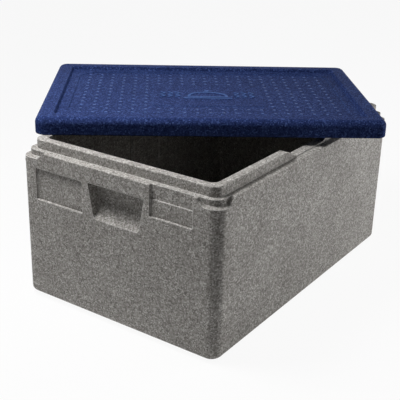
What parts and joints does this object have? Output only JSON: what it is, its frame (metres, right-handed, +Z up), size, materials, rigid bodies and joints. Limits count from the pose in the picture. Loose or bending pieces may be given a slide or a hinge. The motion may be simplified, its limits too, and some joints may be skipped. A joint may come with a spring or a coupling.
{
  "type": "insulated food carrier",
  "caption": "Top-loading insulated carrier for food pans, moulded in foam, with hand scoops in its ends and a loose lid lying askew on its rim.",
  "frame": {"origin": "centre of the underside of the foot that the box stands on", "axes": "+Z up, X along the long sides of the box, Y along its short sides; a hand scoop is in each end, at -X and +X"},
  "size_m": [0.7009, 0.7052, 0.3163],
  "materials": {
    "grey_foam": "matte expanded polypropylene, heather grey, with a fine moulded bead texture",
    "blue_foam": "matte expanded polypropylene, navy blue, with a fine moulded bead texture and a slight sheen"
  },
  "bodies": {
    "box": {"box_body": "grey_foam"},
    "lid": {"lid": "blue_foam"}
  },
  "joints": [
    {"name": "lid_lift", "type": "slide", "parent": "box", "child": "lid", "axis": [0, 0, 1], "range_m": [0, 0.3]}
  ]
}
